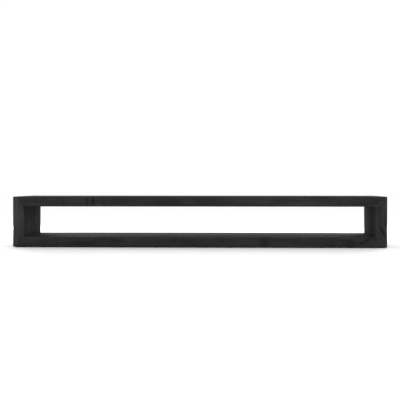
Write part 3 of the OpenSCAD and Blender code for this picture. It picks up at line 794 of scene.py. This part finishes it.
def receiver_lens():
    """The dark domed window of the remote control's receiver, beside the buttons."""
    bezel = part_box("control_bezel")
    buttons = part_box("button_power")
    centre = ((bezel[0].x + bezel[1].x) / 2 + LENS_FROM_MIDDLE,
              (buttons[0].y + buttons[1].y) / 2,
              bezel[0].z + 0.6 * MM)
    dome = [(LENS_R * math.cos(a), -LENS_RISE * math.sin(a))
            for a in (math.radians(15 * k) for k in range(6))]
    profile = [(ON_AXIS, 3 * MM), (LENS_R, 3 * MM), *dome, (ON_AXIS, -LENS_RISE)]
    red = clear_plastic("receiver_red", (0.16, 0.012, 0.012), 0.08, 0.35)
    make_piece("receiver_lens", *turned_shape(centre, profile, sides=32), red, "frame", "gloss_plastic")


def levelling_feet():
    """Feet with a rounded, ringed pad and a threaded stud."""
    rubber = moulded("foot_plastic", (0.020, 0.020, 0.020), 0.62)
    for name, body in FEET.items():
        low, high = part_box(name)
        pad_r = (high.x - low.x) / 2
        grooves = []
        for ring in (0.30, 0.50, 0.70):
            grooves += [(ring * pad_r, 0.0), ((ring + 0.02) * pad_r, 0.4 * MM),
                        ((ring + 0.06) * pad_r, 0.4 * MM), ((ring + 0.08) * pad_r, 0.0)]
        rim = [*arc((pad_r - PAD_EASE, PAD_EASE), PAD_EASE, -90, 0, 5),
               *arc((pad_r - PAD_EASE, PAD_T - PAD_EASE), PAD_EASE, 0, 90, 5)]
        thread = []
        height = PAD_T + 1.5 * MM
        while height + THREAD_PITCH < high.z - 1.5 * MM:
            thread += [(STUD_R, height), (STUD_R - THREAD_DEPTH, height + THREAD_PITCH / 2)]
            height += THREAD_PITCH
        stud = [(STUD_R - 0.2 * MM, PAD_T), *thread, (STUD_R, height), (STUD_R - 0.8 * MM, high.z)]
        profile = [(ON_AXIS, 0.0), *grooves, *rim, *stud, (ON_AXIS, high.z)]
        shape = turned_shape(((low.x + high.x) / 2, (low.y + high.y) / 2, low.z), profile, sides=40)
        make_piece("moulded_" + name, *shape, rubber, body, "foot_plastic", (name,), smooth_angle=28)


def fluted_cap():
    """The filler cap with a fluted rim and a rounded bar to turn it by."""
    low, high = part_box("filler_cap")
    x, y = (low.x + high.x) / 2, (low.y + high.y) / 2
    rim_r = (high.x - low.x) / 2
    plug_r = rim_r - 3.4 * MM
    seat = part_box("tank_lid")[1].z + 0.3 * MM - low.z
    crown = seat + FLANGE_T
    top = high.z - low.z
    sides = 6 * FLUTES
    # Radius, height, and whether the flutes are cut into that row
    rows = [(ON_AXIS, 0.0, 0), (plug_r - 0.4 * MM, 0.0, 0), (plug_r, 0.4 * MM, 0), (plug_r, seat, 0),
            (rim_r - 0.4 * MM, seat, 1), (rim_r, seat + 0.4 * MM, 1), (rim_r, crown - 0.5 * MM, 1),
            (rim_r - 0.5 * MM, crown, 1), (rim_r - 2.2 * MM, crown, 0),
            (rim_r - 2.6 * MM, crown - 0.4 * MM, 0), (ON_AXIS, crown - 0.4 * MM, 0)]
    verts = []
    for r, h, fluted in rows:
        for k in range(sides):
            a = 2 * math.pi * k / sides
            reach = r - fluted * FLUTE_DEPTH * (0.5 - 0.5 * math.cos(FLUTES * a))
            verts.append((x + reach * math.cos(a), y + reach * math.sin(a), low.z + h))
    cap = verts, skin(len(rows), sides)
    outline = eased_outline((-11 * MM, -2 * MM), (11 * MM, 2 * MM), (1.9 * MM,) * 4, 1 * MM, 6)
    # Height, and the share of the bar's width that is left there
    layers = [(crown - 0.6 * MM, 1.0), (top - 0.7 * MM, 1.0), (top - 0.2 * MM, 0.94), (top, 0.80)]
    verts = [(x + u * (0.75 + 0.25 * width), y + v * width, low.z + h)
             for h, width in layers for u, v in outline]
    bar = verts, skin(len(layers), len(outline))
    plastic = moulded("cap_plastic", (0.020, 0.020, 0.021), 0.42)
    make_piece("fluted_cap", *joined(cap, bar), plastic, "cap", "black_plastic", ("filler_cap",))


# ---------- floor, backdrop and light ----------

LIT_POINT = (0.0, 0.0, 0.1)  # where the lamps look


def stage():
    """A plain white floor under an even white sky, with four lamps.

    One is high behind the object and a weak one is low in front of it. One behind each end lights the floor.
    """
    world = bpy.data.worlds.new("sky")
    world.use_nodes = True
    world.node_tree.nodes["Background"].inputs["Color"].default_value = (1, 1, 1, 1)
    world.node_tree.nodes["Background"].inputs["Strength"].default_value = 1.03
    bpy.context.scene.world = world
    reach = 30.0
    corners = [(-reach, -reach, 0), (reach, -reach, 0), (reach, reach, 0), (-reach, reach, 0)]
    mesh = new_mesh("floor", corners, [(0, 1, 2, 3)])
    material, tree, shader, coords = start_material("floor")
    dust = specks(tree, coords, 3.0, 3.0)
    wire(tree, shader, Base_Color=two_colours(tree, dust, (0.95, 0.95, 0.95), (0.97, 0.97, 0.97)),
         Roughness=0.9, Specular_IOR_Level=0.0)
    mesh.materials.append(material)
    add_object("floor", mesh)
    for name, place, size, power in (
        ("high_behind", (-0.2, 3.2, 2.7), 1.2, 27.0),
        ("low_front_left", (-2.2, -4.2, 0.8), 1.6, 4.0),
        ("behind_left", (-1.75, 1.4, 0.55), 0.7, 22.0),
        ("behind_right", (1.75, 1.4, 0.55), 0.7, 22.0),
    ):
        data = bpy.data.lights.new(name, "AREA")
        data.size = size
        data.energy = power
        lamp = add_object(name, data)
        lamp.location = place
        lamp.rotation_euler = (Vector(LIT_POINT) - Vector(place)).to_track_quat("-Z", "Y").to_euler()
    bpy.context.scene.view_settings.view_transform = "Standard"


camera()
timber_pieces()
dress_cad_nodes()
visible_screws()
push_buttons()
receiver_lens()
levelling_feet()
fluted_cap()
stage()
